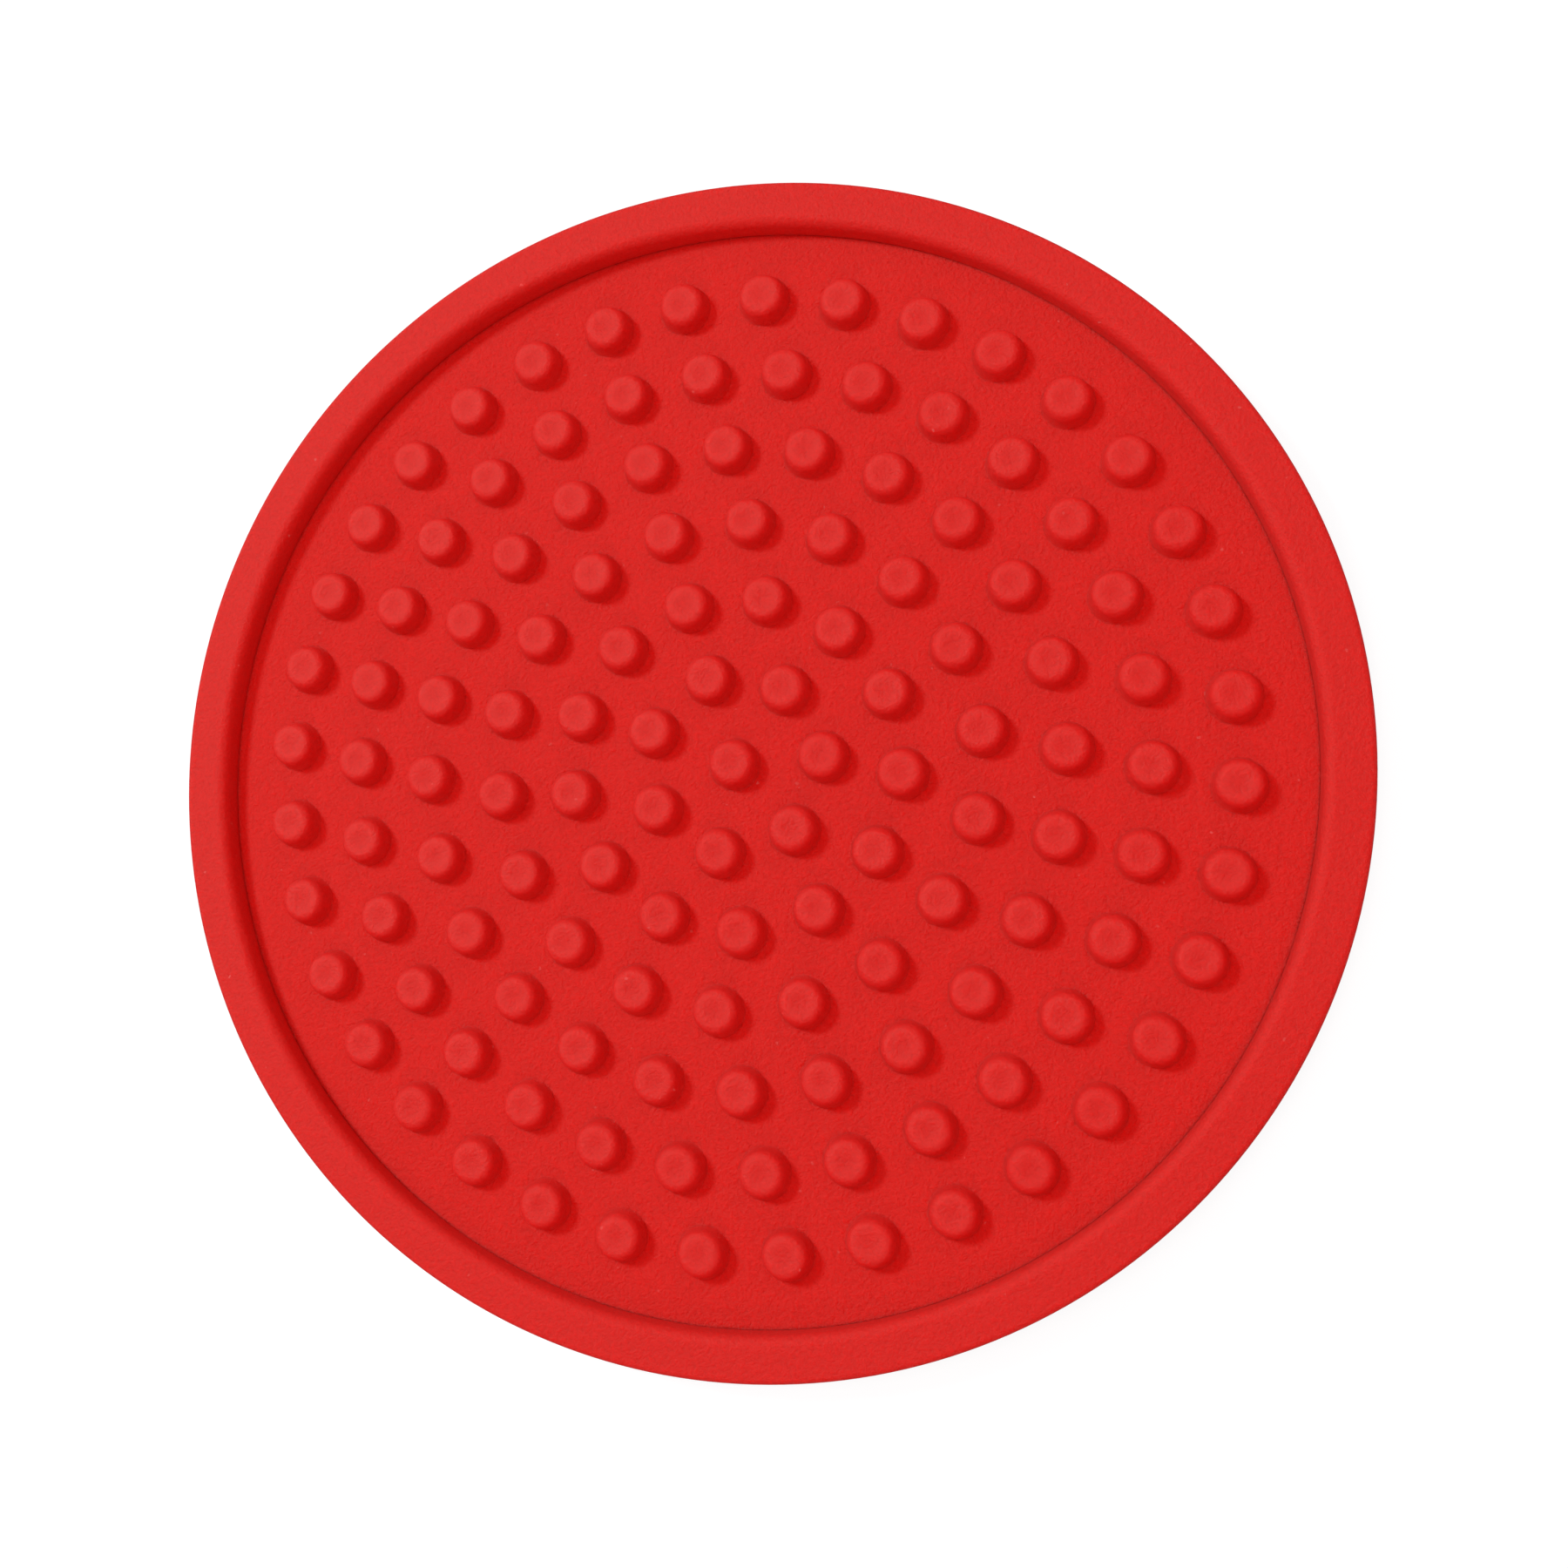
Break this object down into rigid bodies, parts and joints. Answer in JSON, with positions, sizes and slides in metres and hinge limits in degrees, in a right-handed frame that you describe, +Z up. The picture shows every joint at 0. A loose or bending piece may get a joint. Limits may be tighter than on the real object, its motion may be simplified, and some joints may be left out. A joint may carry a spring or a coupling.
{
  "type": "round silicone drinks coaster",
  "caption": "Round rimmed silicone coaster: a shallow tray that catches drips, with a lift-out pad whose short round nubs hold a glass clear of the wet.",
  "frame": {"origin": "centre of the underside, on the plane that the coaster stands on", "axes": "+Z up through the nubs, +Y along the ray on which every nub ring has a nub, +X to the right of it"},
  "size_m": [0.1, 0.1, 0.005],
  "materials": {
    "tray_silicone": "red silicone rubber, smooth satin-matt moulded skin",
    "pad_silicone": "red silicone rubber, finely grained matt moulded skin"
  },
  "bodies": {
    "tray": {"tray": "tray_silicone"},
    "pad": {"nub_pad": "pad_silicone"}
  },
  "joints": [
    {"name": "pad_lift", "type": "slide", "parent": "tray", "child": "pad", "axis": [0, 0, 1], "range_m": [0, 0.01]}
  ]
}
